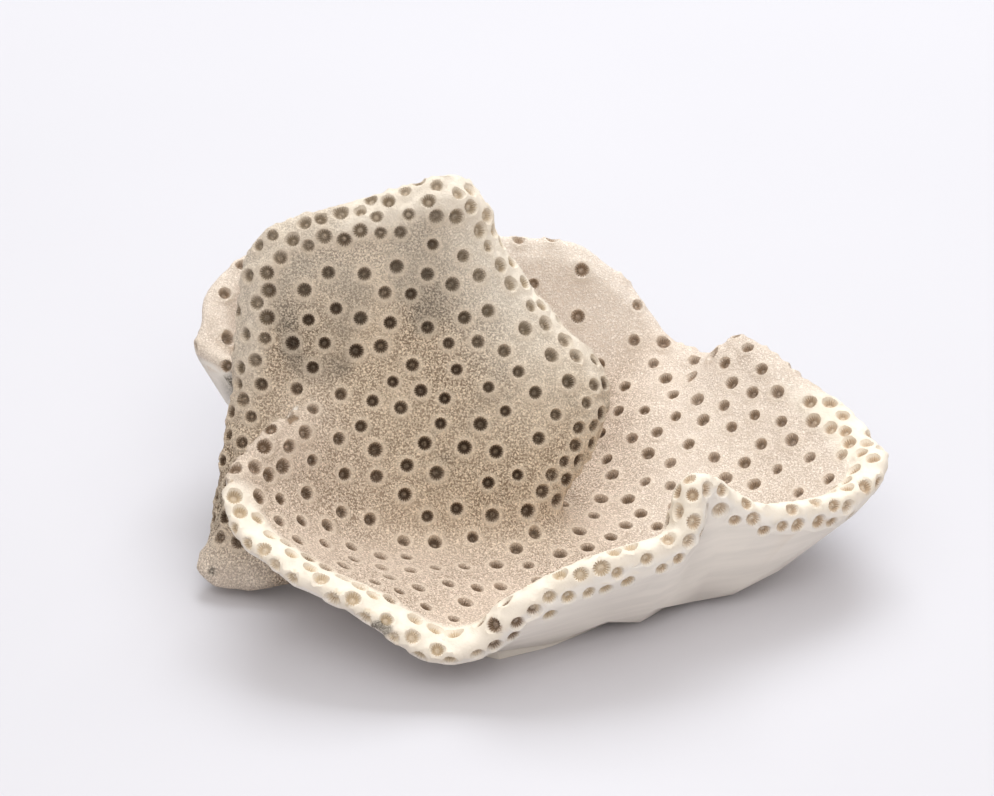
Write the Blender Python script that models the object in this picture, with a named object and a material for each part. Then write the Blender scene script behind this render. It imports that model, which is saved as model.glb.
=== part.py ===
"""Plate coral: a ruffled dish with an upright frond and a leaf curling up behind it.

The dish, frond and leaf are one growth, split at its forks. Their upper faces are pitted with
small round cups, and the dish is cut off flat below, where it grew on rock. X runs along the
dish, Y away from the front edge and Z up. The origin is the middle of the flat cut.
"""

import math
import random

import bmesh
import bpy
import numpy as np
from mathutils import Matrix, Vector
from mathutils.noise import noise

MM = 0.001

# Driving dimensions
DISH_THICKNESS = 6.0 * MM
FROND_THICKNESS = 7.0 * MM
FROND_EDGE_THICKNESS = 6.0 * MM
FORK_GAP = 0.3 * MM
CUP_RADIUS = 1.3 * MM
CUP_DEPTH = 1.7 * MM
CUP_SPACING = 4.8 * MM
RIM_CUP_SPACING = 3.9 * MM
LUMP_HEIGHT = 0.5 * MM
LUMP_SIZE = 14 * MM

# The rounded edge of every plate, as shares of its thickness there
EDGE_REACH = 0.42
EDGE_HEIGHT = 0.36

# How far apart the slope of a plate is measured, as a share of half its width
SLOPE_STEP = 0.06

# The middle of the dish's floor, at half of the plate's thickness
DISH_FLOOR = (0 * MM, 0 * MM, 3.2 * MM)
DISH_RISE = 1.7

# The dish's outer edge, anticlockwise from where the left lip leaves the frond. Each station has
# x, y and z in mm, the share of the way out at which the plate turns up, and its thickness in mm.
LEFT_LIP = [
    (-37.0, 4.6, 28.3, 0.35, 3.6), (-38.8, 1.1, 29.6, 0.35, 3.6), (-42.2, -2.9, 27.9, 0.35, 3.6),
    (-45.6, -6.9, 26.1, 0.3, 3.6), (-47.6, -10.9, 24.8, 0.3, 3.6), (-48.2, -14.9, 23.1, 0.25, 3.6),
    (-47.2, -18.4, 20.9, 0.2, 3.6), (-44.8, -21.9, 19.2, 0.2, 3.6),
]
FRONT_EDGE = [
    (-40.2, -25.9, 18.0, 0.2, 3.6), (-35.8, -28.9, 16.6, 0.2, 3.6), (-31.0, -30.9, 15.3, 0.2, 3.6),
    (-26.1, -32.9, 13.2, 0.2, 3.8), (-20.7, -34.9, 10.0, 0.2, 4.2), (-14.5, -35.9, 7.6, 0.3, 4.6),
    (-7.9, -35.4, 9.2, 0.5, 5.0), (-3.5, -34.4, 13.6, 0.6, 5.4), (2.5, -32.4, 16.4, 0.62, 5.6),
    (9.4, -29.9, 18.9, 0.65, 5.6), (16.1, -27.4, 19.9, 0.68, 5.6),
]
FRONT_RUFFLE = [
    (22.2, -24.9, 20.4, 0.72, 5.4), (25.2, -22.4, 23.8, 0.74, 5.2), (25.3, -19.4, 27.7, 0.75, 5.0),
    (28.5, -17.0, 26.2, 0.75, 4.4), (32.0, -15.8, 22.8, 0.75, 4.0), (35.9, -14.6, 19.9, 0.75, 4.0),
]
RIGHT_LOBE = [
    (40.6, -12.8, 18.5, 0.74, 4.4), (46.3, -9.4, 17.4, 0.7, 4.8), (52.1, -5.4, 17.2, 0.62, 4.8),
    (56.4, -0.4, 17.8, 0.5, 4.8), (58.0, 4.1, 18.2, 0.4, 4.8), (56.5, 8.6, 17.8, 0.3, 4.6),
    (54.6, 14.6, 18.7, 0.3, 4.6), (51.0, 19.6, 19.8, 0.3, 4.6),
]
BACK_RIGHT_LOBE = [
    (46.6, 24.6, 20.6, 0.3, 4.6), (42.6, 29.6, 22.1, 0.3, 4.6), (39.4, 33.6, 22.7, 0.35, 4.6),
    (36.8, 36.6, 22.6, 0.35, 4.6), (34.1, 38.6, 18.7, 0.3, 4.6), (31.5, 40.1, 16.4, 0.3, 4.6),
    (29.0, 41.9, 17.0, 0.35, 4.2), (25.9, 44.2, 16.9, 0.42, 4.0),
]
BACK_EDGE = [
    (23.3, 46.6, 18.2, 0.5, 4.0), (21.0, 48.8, 20.4, 0.56, 4.4), (18.6, 50.8, 23.0, 0.6, 4.8),
    (16.5, 52.6, 25.4, 0.6, 5.0), (12.9, 54.1, 27.8, 0.62, 5.0), (8.5, 55.6, 30.5, 0.62, 5.0),
    (3.1, 56.1, 31.2, 0.62, 5.0), (-4.1, 56.1, 31.6, 0.62, 5.0), (-18, 55.5, 33.0, 0.62, 5.0),
    (-33, 52, 34.5, 0.62, 5.0), (-41, 48.8, 35.2, 0.62, 5.0),
]
LEFT_LOBE = [
    (-46.7, 45.1, 35.3, 0.6, 5.0), (-50.2, 40.6, 35.1, 0.6, 5.0), (-53.1, 36.6, 33.9, 0.6, 5.0),
    (-54.6, 33.1, 32.2, 0.55, 5.0), (-54.6, 29.6, 30.2, 0.5, 5.0), (-55.5, 26.6, 28.0, 0.45, 5.0),
    (-54.0, 24.1, 27.0, 0.4, 4.8), (-50.3, 20.6, 26.7, 0.4, 4.6), (-44, 15.5, 27, 0.4, 4.2),
    (-39, 10, 27.5, 0.38, 3.8),
]
DISH_EDGE = LEFT_LIP + FRONT_EDGE + FRONT_RUFFLE + RIGHT_LOBE + BACK_RIGHT_LOBE + BACK_EDGE + LEFT_LOBE

# Swells of the dish's floor: x, y, height and radius, in mm
DISH_SWELLS = [(16.7, 33.6, 3.5, 10), (37.7, 5.6, -1.0, 12)]

# The flat cut's outline, in mm, and the height of the stump above it
CUT_OUTLINE = [
    (-7.4, -27.4), (4.7, -22.9), (14.7, -15.4), (22.5, -10.5), (27.0, 0.5), (22.7, 14.6), (10.7, 22.1),
    (-5.3, 24.1), (-18.3, 17.6), (-23.3, 1.6), (-19.0, -17.8),
]
STUMP_HEIGHT = 4.5 * MM
STUMP_TAPER = 0.94

# The frond's four edges at the middle of its thickness, in mm
FROND_LEFT = [
    (-53.6, -5.8, 4.4), (-51.6, -3.4, 6.2), (-50.5, -0.9, 9.9), (-49.9, 2.1, 13.9), (-48.9, 6.1, 19.3),
    (-48.3, 9.6, 25.0), (-47.4, 12.6, 31.0), (-46.8, 15.1, 37.2), (-46.4, 17.6, 43.4),
    (-45.4, 19.6, 47.6), (-42.5, 20.6, 51.0),
]
FROND_TOP = [
    (-42.5, 20.6, 51.0), (-37.9, 21.6, 52.4), (-31.6, 22.6, 54.1), (-26.3, 23.6, 55.1),
    (-21.3, 24.6, 56.4), (-16.6, 25.6, 57.6), (-13.0, 27.1, 57.6), (-10.7, 28.6, 55.4), (-9.7, 29.1, 52.1),
]
FROND_RIGHT = [
    (3.1, 0.6, 5.0), (3.4, 3.6, 7.5), (4.8, 6.6, 11.1), (7.3, 9.6, 15.2), (9.7, 13.1, 19.4),
    (11.3, 17.1, 23.6), (9.9, 20.1, 27.1), (4.5, 23.6, 31.4), (-1.9, 26.6, 37.9), (-6.9, 28.6, 44.8),
    (-9.7, 29.1, 52.1),
]
FROND_FOOT = [
    (-53.6, -5.8, 4.4), (-51.2, -7.4, 3.6), (-46.9, -8.3, 3.3), (-41.2, -8.4, 4.6), (-33, -6, 3.5),
    (-18.3, -2.4, 3.2), (-5.3, -1.4, 3.2), (3.1, 0.6, 5.0),
]
FROND_CROWN = 3.0 * MM

# The plane that parts the back leaf from the dish: two points of it seen from above, in mm
LEAF_FORK = [(-60.3, 14.6), (25.7, 42.6)]

DISH_CELLS = 24
FROND_CELLS = 15
MOST_CUPS = {"dish": 124, "upright_frond": 60, "back_leaf": 28}
MOST_RIM_CUPS = {"dish": 34, "upright_frond": 12, "back_leaf": 10}
SEED = 11


def curve_through(stations, closed):
    """A function of 0 to 1 that follows a smooth curve through the stations at an even pace."""
    points = np.array(stations, float)
    points[:, :3] *= MM
    count = len(points)
    if closed:
        padded = np.vstack([points[-1], points, points[:2]])
        spans = count
    else:
        padded = np.vstack([2 * points[0] - points[1], points, 2 * points[-1] - points[-2]])
        spans = count - 1
    step = np.linspace(0, spans, spans * 24 + 1)
    index = np.minimum(step.astype(int), spans - 1)
    f = (step - index)[:, None]
    p0, p1, p2, p3 = (padded[index + k] for k in range(4))
    dense = 0.5 * (
        2 * p1 + (p2 - p0) * f + (2 * p0 - 5 * p1 + 4 * p2 - p3) * f**2 + (3 * p1 - p0 - 3 * p2 + p3) * f**3
    )
    length = np.concatenate([[0], np.cumsum(np.linalg.norm(np.diff(dense[:, :3], axis=0), axis=1))])

    def follow(fraction):
        at = np.clip(fraction, 0, 1) * length[-1]
        return np.stack([np.interp(at, length, dense[:, k]) for k in range(dense.shape[1])], axis=-1)

    return follow


dish_edge = curve_through(DISH_EDGE, closed=True)
frond_left = curve_through(FROND_LEFT, closed=False)
frond_right = curve_through(FROND_RIGHT, closed=False)
frond_top = curve_through(FROND_TOP, closed=False)
frond_foot = curve_through(FROND_FOOT, closed=False)


def unit(vectors):
    """The vectors at length 1."""
    return vectors / np.linalg.norm(vectors, axis=1)[:, None]


def lumps(points):
    """Gentle unevenness of grown coral at each point."""
    return np.array([noise(Vector(p) / LUMP_SIZE) for p in points]) * LUMP_HEIGHT


def dish_polar(out, angle):
    """Points of the dish's middle surface, and its thickness, for a share of the way out and an angle."""
    edge = dish_edge((angle / math.tau + 0.5) % 1.0)
    floor = np.array(DISH_FLOOR)
    points = floor + (edge[:, :3] - floor) * out[:, None]
    turn = edge[:, 3]
    rise = np.clip((out - turn) / (1 - turn), 0, None) ** DISH_RISE
    points[:, 2] = floor[2] + (edge[:, 2] - floor[2]) * rise
    for sx, sy, height, radius in np.array(DISH_SWELLS) * MM:
        apart = np.hypot(points[:, 0] - sx, points[:, 1] - sy) / radius
        points[:, 2] += height * np.exp(-(apart**2))
    points[:, 2] += lumps(points)
    return points, DISH_THICKNESS + (edge[:, 4] * MM - DISH_THICKNESS) * out**2


def dish_surface(a, b):
    """The dish's points, unit normals and thickness for square coordinates from -1 to 1."""
    x, y = a * np.sqrt(1 - b * b / 2), b * np.sqrt(1 - a * a / 2)
    out, angle = np.hypot(x, y), np.arctan2(y, x)
    here, thickness = dish_polar(out, angle)
    turned = SLOPE_STEP / np.maximum(out, 0.2)
    far = np.maximum(out, 0.2)
    further = dish_polar(np.clip(out + SLOPE_STEP, 0, 1), angle)[0]
    nearer = dish_polar(np.clip(out - SLOPE_STEP, 0, 1), angle)[0]
    around = dish_polar(far, angle + turned)[0] - dish_polar(far, angle - turned)[0]
    return here, unit(np.cross(further - nearer, around)), thickness


def frond_square(a, b):
    """Points of the frond's middle surface, and its thickness: a runs left to right and b upwards."""
    u, v = ((a + 1) / 2)[:, None], ((b + 1) / 2)[:, None]
    left, right = frond_left(v[:, 0]), frond_right(v[:, 0])
    foot, top = frond_foot(u[:, 0]), frond_top(u[:, 0])
    corners = (
        (1 - u) * (1 - v) * frond_left(0.0) + u * (1 - v) * frond_right(0.0)
        + (1 - u) * v * frond_left(1.0) + u * v * frond_right(1.0)
    )
    points = (1 - u) * left + u * right + (1 - v) * foot + v * top - corners
    across, up = u[:, 0], v[:, 0]
    crown = (1 - across**6) * (1 - (1 - across) ** 3) * np.sqrt(np.sin(math.pi * np.clip(up, 0, 1)))
    points[:, 1] -= FROND_CROWN * crown + lumps(points)
    out = np.maximum(abs(a), abs(b))
    return points, FROND_THICKNESS + (FROND_EDGE_THICKNESS - FROND_THICKNESS) * out**4


def frond_surface(a, b):
    """The frond's points, unit normals and thickness for square coordinates from -1 to 1."""
    here, thickness = frond_square(a, b)
    low_a, high_a = np.clip(a - SLOPE_STEP, -1, 1), np.clip(a + SLOPE_STEP, -1, 1)
    low_b, high_b = np.clip(b - SLOPE_STEP, -1, 1), np.clip(b + SLOPE_STEP, -1, 1)
    along = frond_square(high_a, b)[0] - frond_square(low_a, b)[0]
    up = frond_square(a, high_b)[0] - frond_square(a, low_b)[0]
    return here, unit(np.cross(along, up)), thickness


def square_border(way):
    """Places on the border of the square from -1 to 1, anticlockwise, for a way round of 0 to 4."""
    side, along = np.divmod(way % 4, 1)
    run = 2 * along - 1
    a = np.choose(side.astype(int), [np.ones_like(run), -run, -np.ones_like(run), run])
    b = np.choose(side.astype(int), [run, np.ones_like(run), -run, -np.ones_like(run)])
    return a, b


def edge_frame(surface, way):
    """The middle surface's border: points, normals, directions outwards and thickness."""
    here, normal, thickness = surface(*square_border(way))
    ahead = surface(*square_border(way + SLOPE_STEP))[0] - surface(*square_border(way - SLOPE_STEP))[0]
    return here, normal, unit(np.cross(ahead, normal)), thickness


def new_object(name, bm, collection):
    """A named object that takes over the bmesh."""
    mesh = bpy.data.meshes.new(name)
    bmesh.ops.triangulate(bm, faces=bm.faces)
    bmesh.ops.recalc_face_normals(bm, faces=bm.faces)
    bm.to_mesh(mesh)
    bm.free()
    made = bpy.data.objects.new(name, mesh)
    collection.objects.link(made)
    return made


def settled_mesh(made):
    """Replaces an object's modifiers by the mesh that they make."""
    graph = bpy.context.evaluated_depsgraph_get()
    mesh = bpy.data.meshes.new_from_object(made.evaluated_get(graph))
    made.modifiers.clear()
    made.data = mesh


def sheet_solid(name, surface, cells, collection, swell=0.0):
    """A plate: two skins on either side of a middle surface, and a rounded edge that joins them."""
    steps = np.linspace(-1, 1, cells + 1)
    a, b = (grid.ravel() for grid in np.meshgrid(steps, steps))
    middle, normal, thickness = surface(a, b)
    on_border = np.maximum(abs(a), abs(b)) > 0.999
    half = (np.where(on_border, 2 * EDGE_HEIGHT, 1.0) * thickness / 2 + swell)[:, None]
    way = np.linspace(0, 4, 4 * cells, endpoint=False)
    border, _, outward, border_thickness = edge_frame(surface, way)
    ring = border + outward * (border_thickness * EDGE_REACH + swell)[:, None]

    bm = bmesh.new()
    skins = [[bm.verts.new(p) for p in middle + normal * half * side] for side in (1, -1)]
    ring = [bm.verts.new(p) for p in ring]
    for skin in skins:
        for row in range(cells):
            for column in range(cells):
                corner = row * (cells + 1) + column
                bm.faces.new([skin[corner + k] for k in (0, 1, cells + 2, cells + 1)])
    on_a, on_b = square_border(way)
    column = np.rint((on_a + 1) / 2 * cells).astype(int)
    row = np.rint((on_b + 1) / 2 * cells).astype(int)
    border_index = row * (cells + 1) + column
    for here, there in zip(range(len(ring)), list(range(1, len(ring))) + [0]):
        for skin in skins:
            bm.faces.new([ring[here], ring[there], skin[border_index[there]], skin[border_index[here]]])
    return new_object(name, bm, collection)


def boolean(target, operation, other):
    """Applies a Boolean and leaves its result as the target's mesh."""
    modifier = target.modifiers.new(operation.lower(), "BOOLEAN")
    modifier.operation = operation
    modifier.object = other
    settled_mesh(target)


def keep_side(made, point, normal):
    """Cuts an object by a plane and keeps what lies against the normal, with a flat face there."""
    bm = bmesh.new()
    bm.from_mesh(made.data)
    geometry = bm.verts[:] + bm.edges[:] + bm.faces[:]
    cut = bmesh.ops.bisect_plane(
        bm, geom=geometry, dist=MM * 1e-3, plane_co=point, plane_no=normal, clear_outer=True
    )
    edges = [e for e in cut["geom_cut"] if isinstance(e, bmesh.types.BMEdge)]
    bmesh.ops.triangle_fill(bm, edges=edges, use_beauty=True, use_dissolve=False)
    bmesh.ops.recalc_face_normals(bm, faces=bm.faces)
    bm.to_mesh(made.data)
    bm.free()


def cut_stump(collection, swell=0.0):
    """The low stump under the dish, where the coral was cut off its rock."""
    outline = curve_through([(x, y, 0) for x, y in CUT_OUTLINE], closed=True)
    ring = outline(np.linspace(0, 1, 36, endpoint=False))[:, :2]
    ring *= 1 + swell / np.linalg.norm(ring, axis=1)[:, None]
    bm = bmesh.new()
    lower = [bm.verts.new((x, y, -1 * MM - swell)) for x, y in ring]
    upper = [bm.verts.new((x * STUMP_TAPER, y * STUMP_TAPER, STUMP_HEIGHT + swell)) for x, y in ring]
    bm.faces.new(lower)
    bm.faces.new(upper)
    for index in range(len(ring)):
        after = (index + 1) % len(ring)
        bm.faces.new([lower[index], lower[after], upper[after], upper[index]])
    return new_object("stump", bm, collection)


def face_places(surface, side, chance, tries=6000):
    """Random places on one face of a plate, with the direction out of it."""
    a, b = (np.array([chance.uniform(-0.93, 0.93) for _ in range(tries)]) for _ in range(2))
    points, normals, thickness = surface(a, b)
    return points + side * normals * thickness[:, None] / 2, side * normals


def rim_places(surface, side, chance, tries=2400):
    """Random places on the rounded edge of a plate, where it is thick enough to carry cups."""
    way = np.array([chance.uniform(0, 4) for _ in range(tries)])
    border, normal, outward, thickness = edge_frame(surface, way)
    points = border + (outward * EDGE_REACH + side * normal * EDGE_HEIGHT) * thickness[:, None] / 2
    facing = outward * EDGE_HEIGHT + side * normal * EDGE_REACH
    wide = thickness > 3 * CUP_RADIUS
    return points[wide], unit(facing)[wide]


def scatter(places, taken, spacing, clear, most):
    """Keeps those places that lie apart from one another, from the taken ones and from the forks."""
    kept = []
    for point, facing in zip(*places):
        if len(kept) == most:
            break
        if any(np.linalg.norm(point - other) < spacing for other, _ in taken + kept):
            continue
        if clear(point):
            kept.append((point, facing))
    return kept


def cup_cutters(name, places, chance, collection):
    """Five-sided pits, joined in one object, each sunk square to the surface at its place."""
    bm = bmesh.new()
    above = 0.5 * MM
    for point, facing in places:
        radius = CUP_RADIUS * chance.uniform(0.9, 1.12)
        depth = CUP_DEPTH + above
        turn = Vector(facing).to_track_quat("Z", "Y").to_matrix().to_4x4()
        centre = Vector(point) + Vector(facing) * (above - depth / 2)
        bmesh.ops.create_cone(
            bm, segments=5, radius1=0, radius2=radius * depth / CUP_DEPTH, depth=depth,
            cap_ends=True, matrix=Matrix.Translation(centre) @ turn,
        )
    cutters = new_object(name, bm, collection)
    cutters.hide_render = True
    cutters.display_type = "WIRE"
    return cutters


def coral_material(name, colour, roughness):
    """Bare coral skeleton: chalky and not metallic."""
    made = bpy.data.materials.new(name)
    made.use_nodes = True
    shader = made.node_tree.nodes["Principled BSDF"]
    shader.inputs["Base Color"].default_value = (*colour, 1)
    shader.inputs["Roughness"].default_value = roughness
    shader.inputs["Metallic"].default_value = 0
    return made


def build():
    """Makes the three pieces."""
    for old in list(bpy.data.objects):
        bpy.data.objects.remove(old)
    parts = bpy.data.collections.new("plate_coral")
    tools = bpy.data.collections.new("cutters")
    for collection in (parts, tools):
        bpy.context.scene.collection.children.link(collection)

    dish = sheet_solid("dish", dish_surface, DISH_CELLS, parts)
    boolean(dish, "UNION", cut_stump(tools))
    frond = sheet_solid("upright_frond", frond_surface, FROND_CELLS, parts)
    boolean(frond, "DIFFERENCE", sheet_solid("fork", dish_surface, DISH_CELLS, tools, swell=FORK_GAP))
    boolean(frond, "DIFFERENCE", cut_stump(tools, swell=2 * FORK_GAP))

    keep_side(dish, (0, 0, 0), (0, 0, -1))
    start, end = (Vector((x * MM, y * MM, 0)) for x, y in LEAF_FORK)
    forward = (end - start).normalized()
    behind = Vector((-forward.y, forward.x, 0))
    leaf = bpy.data.objects.new("back_leaf", dish.data.copy())
    parts.objects.link(leaf)
    keep_side(dish, start - behind * FORK_GAP / 2, behind)
    keep_side(leaf, start + behind * FORK_GAP / 2, -behind)

    grid = np.linspace(-1, 1, 60)
    a, b = (side.ravel() for side in np.meshgrid(grid, grid))
    frond_samples = frond_surface(a, b)[0]
    dish_samples = dish_surface(a, b)[0]
    margin = 1.5 * CUP_RADIUS

    def far_from(point, samples, distance):
        return ((samples - point) ** 2).sum(axis=1).min() > distance**2

    def on_dish(point):
        past_fork = (Vector(point) - start).dot(behind)
        return past_fork < -margin and far_from(point, frond_samples, FROND_THICKNESS / 2 + margin)

    def on_leaf(point):
        past_fork = (Vector(point) - start).dot(behind)
        return past_fork > margin and far_from(point, frond_samples, FROND_THICKNESS / 2 + margin)

    def on_frond(point):
        return far_from(point, dish_samples, DISH_THICKNESS / 2 + margin)

    chance = random.Random(SEED)
    for made, surface, clear in (
        (dish, dish_surface, on_dish), (leaf, dish_surface, on_leaf), (frond, frond_surface, on_frond)
    ):
        rim = scatter(rim_places(surface, 1, chance), [], RIM_CUP_SPACING, clear, MOST_RIM_CUPS[made.name])
        face = scatter(face_places(surface, 1, chance), rim, CUP_SPACING, clear, MOST_CUPS[made.name])
        boolean(made, "DIFFERENCE", cup_cutters(made.name + "_cups", rim + face, chance, tools))

    for helper in list(tools.objects):
        bpy.data.objects.remove(helper)
    colours = {dish: (0.80, 0.72, 0.62), frond: (0.68, 0.58, 0.46), leaf: (0.82, 0.75, 0.66)}
    for made, colour in colours.items():
        made.data.materials.clear()
        made.data.materials.append(coral_material(made.name + "_skeleton", colour, 0.9))


build()
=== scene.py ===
"""Bleached plate coral on a pale table.

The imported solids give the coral's place and size. Finer pieces of the same growth take their
place: the plates are laid again from the same stations, fused, rounded out at the forks, raised
round the cups and pitted, and then parted at the forks as the solids are.
"""

from __future__ import annotations

import itertools
import logging
import math
import random
from dataclasses import dataclass, field
from enum import Enum
from typing import Callable, Iterable, Sequence

import bmesh
import bpy
import numpy as np
from mathutils import Matrix, Vector
from mathutils.kdtree import KDTree
from mathutils.noise import noise


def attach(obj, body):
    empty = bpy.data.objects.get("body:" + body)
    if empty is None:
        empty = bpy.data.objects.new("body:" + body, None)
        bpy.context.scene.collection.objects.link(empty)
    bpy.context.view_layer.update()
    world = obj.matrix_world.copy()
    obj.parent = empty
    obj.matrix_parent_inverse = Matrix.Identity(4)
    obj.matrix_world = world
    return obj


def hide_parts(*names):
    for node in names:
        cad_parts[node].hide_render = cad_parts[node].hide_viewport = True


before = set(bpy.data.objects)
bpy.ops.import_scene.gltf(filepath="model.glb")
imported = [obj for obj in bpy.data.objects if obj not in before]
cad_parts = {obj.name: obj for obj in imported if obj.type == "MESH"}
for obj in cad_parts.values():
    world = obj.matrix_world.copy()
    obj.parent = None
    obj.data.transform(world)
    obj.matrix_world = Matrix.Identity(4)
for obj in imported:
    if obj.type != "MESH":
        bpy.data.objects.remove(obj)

MM = 0.001
SLOPE_STEP = 0.06
ON_BORDER = 0.9999
PHOTO_WIDTH_PX = 994
PX_PER_MM = 6.0
LOG = logging.getLogger("plate_coral")

Array = np.ndarray
Station = tuple[float, ...]
Colour = tuple[float, float, float, float]
Solid = tuple[Array, list[tuple[int, ...]]]


class Keep(Enum):
    """What a Boolean keeps of a piece, by the modifier's own name for it."""

    OUTSIDE = "DIFFERENCE"
    INSIDE = "INTERSECT"


def unit(vectors: Array) -> Array:
    """The vectors at length 1."""
    return vectors / np.maximum(np.linalg.norm(vectors, axis=1), 1e-12)[:, None]


def ease(low: float, high: float, value: Array) -> Array:
    """A smooth step from 0 at low to 1 at high.

    Args:
        low: The value at which the step starts.
        high: The value at which it is complete.
        value: The values to step.

    Returns:
        The stepped values, from 0 to 1.
    """
    share = np.clip((value - low) / (high - low), 0, 1)
    return share * share * (3 - 2 * share)


def noise_at(points: Array, size: float, shift: float = 0.0) -> Array:
    """Smooth noise from -1 to 1 at each point.

    Args:
        points: The places, in metres.
        size: The width of one swell, in metres.
        shift: A step aside that gives another pattern.

    Returns:
        One value for each point.
    """
    return np.array([noise(Vector(p) / size + Vector((shift, shift, shift))) for p in points])


def back_right(points: Array) -> Array:
    """How far each point is along the back right edge, whose rim is like the floor, from 0 to 1."""
    return ease(10 * MM, 24 * MM, points[:, 0]) * ease(14 * MM, 26 * MM, points[:, 1])


def foot_lobe(points: Array) -> Array:
    """How far each point is on the low lobe at the frond's left foot, from 0 to 1."""
    return (1 - ease(-46 * MM, -38 * MM, points[:, 0])) * (1 - ease(4 * MM, 12 * MM, points[:, 2]))


def kd_tree(points: Array) -> KDTree:
    """A search tree of the points.

    Args:
        points: The places.

    Returns:
        The tree, ready for searches.
    """
    tree = KDTree(len(points))
    for index, point in enumerate(points):
        tree.insert(point, index)
    tree.balance()
    return tree


def distances(tree: KDTree, points: Array) -> Array:
    """How far each point is from the nearest one in a search tree."""
    return np.array([tree.find(p)[2] for p in points])


def reach_of(points: Array, ball: Station) -> Array:
    """How far each point is from a ball's centre, in radii; the ball is x, y, z, radius in mm."""
    *centre, radius = ball
    return np.linalg.norm(points - np.array(centre) * MM, axis=1) / (radius * MM)


def curve_through(stations: Sequence[Station], closed: bool) -> Callable[[Array], Array]:
    """A smooth curve through the stations, followed at an even pace.

    Args:
        stations: Rows whose first three values are x, y and z in mm.
        closed: Whether the curve returns to its start.

    Returns:
        A function of 0 to 1 that gives rows in metres, with any further values as they are.
    """
    points = np.array(stations, float)
    points[:, :3] *= MM
    count = len(points)
    if closed:
        padded = np.vstack([points[-1], points, points[:2]])
        spans = count
    else:
        padded = np.vstack([2 * points[0] - points[1], points, 2 * points[-1] - points[-2]])
        spans = count - 1
    step = np.linspace(0, spans, spans * 24 + 1)
    index = np.minimum(step.astype(int), spans - 1)
    f = (step - index)[:, None]
    p0, p1, p2, p3 = (padded[index + k] for k in range(4))
    squared = (2 * p0 - 5 * p1 + 4 * p2 - p3) * f**2
    cubed = (3 * p1 - p0 - 3 * p2 + p3) * f**3
    dense = 0.5 * (2 * p1 + (p2 - p0) * f + squared + cubed)
    length = np.concatenate([[0], np.cumsum(np.linalg.norm(np.diff(dense[:, :3], axis=0), axis=1))])

    def follow(fraction: Array) -> Array:
        at = np.clip(fraction, 0, 1) * length[-1]
        return np.stack([np.interp(at, length, column) for column in dense.T], axis=-1)

    return follow


def square_border(way: Array) -> tuple[Array, Array]:
    """Places on the border of the square from -1 to 1, anticlockwise, for a way round of 0 to 4.

    Args:
        way: How far round each place is, where each side is 1 long.

    Returns:
        The two coordinates of each place.
    """
    side, along = np.divmod(way % 4, 1)
    run = 2 * along - 1
    a = np.choose(side.astype(int), [np.ones_like(run), -run, -np.ones_like(run), run])
    b = np.choose(side.astype(int), [run, np.ones_like(run), -run, -np.ones_like(run)])
    return a, b


def linked(name: str, data: bpy.types.ID) -> bpy.types.Object:
    """An object that shows the data, linked to the scene.

    Args:
        name: The object's name.
        data: The mesh, light or camera.

    Returns:
        The object.
    """
    made = bpy.data.objects.new(name, data)
    bpy.context.scene.collection.objects.link(made)
    return made


def new_object(name: str, vertices: Array, faces: Sequence[Sequence[int]]) -> bpy.types.Object:
    """An object made of vertices and faces, linked to the scene.

    Args:
        name: The object's name.
        vertices: Their places, in metres.
        faces: The vertex numbers of each face.

    Returns:
        The object.
    """
    mesh = bpy.data.meshes.new(name)
    mesh.from_pydata([tuple(v) for v in vertices], [], [tuple(f) for f in faces])
    mesh.update()
    return linked(name, mesh)


def settled(made: bpy.types.Object) -> None:
    """Replaces an object's modifiers by the mesh that they make.

    Args:
        made: The object.
    """
    graph = bpy.context.evaluated_depsgraph_get()
    mesh = bpy.data.meshes.new_from_object(made.evaluated_get(graph))
    old = made.data
    made.modifiers.clear()
    made.data = mesh
    bpy.data.meshes.remove(old)


def fused(name: str, solids: Iterable[Solid], voxel: float) -> bpy.types.Object:
    """Closed meshes fused into one mesh of even faces.

    Args:
        name: The object's name.
        solids: The vertices and faces of each mesh.
        voxel: The width of a face, in metres.

    Returns:
        The object.
    """
    vertices, faces, start = [], [], 0
    for part_vertices, part_faces in solids:
        vertices.append(part_vertices)
        faces += [tuple(start + k for k in face) for face in part_faces]
        start += len(part_vertices)
    made = new_object(name, np.vstack(vertices), faces)
    remesh = made.modifiers.new("even", "REMESH")
    remesh.mode = "VOXEL"
    remesh.voxel_size = voxel
    settled(made)
    return made


def values_of(items: bpy.types.bpy_prop_collection, name: str, width: int, kind: type) -> Array:
    """A property of all items of a mesh.

    Args:
        items: The vertices, normals or edges.
        name: The property's name.
        width: How many values each item has.
        kind: The type of the values.

    Returns:
        One row for each item.
    """
    flat = np.empty(len(items) * width, kind)
    items.foreach_get(name, flat)
    return flat.reshape(-1, width)


def positions(mesh: bpy.types.Mesh) -> Array:
    """The mesh's vertex positions."""
    return values_of(mesh.vertices, "co", 3, np.float32).astype(float)


def vertex_normals(mesh: bpy.types.Mesh) -> Array:
    """The mesh's vertex normals."""
    return values_of(mesh.vertex_normals, "vector", 3, np.float32).astype(float)


def place_vertices(mesh: bpy.types.Mesh, points: Array) -> None:
    """Moves the mesh's vertices to the points."""
    mesh.vertices.foreach_set("co", points.astype(np.float32).ravel())
    mesh.update()


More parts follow.
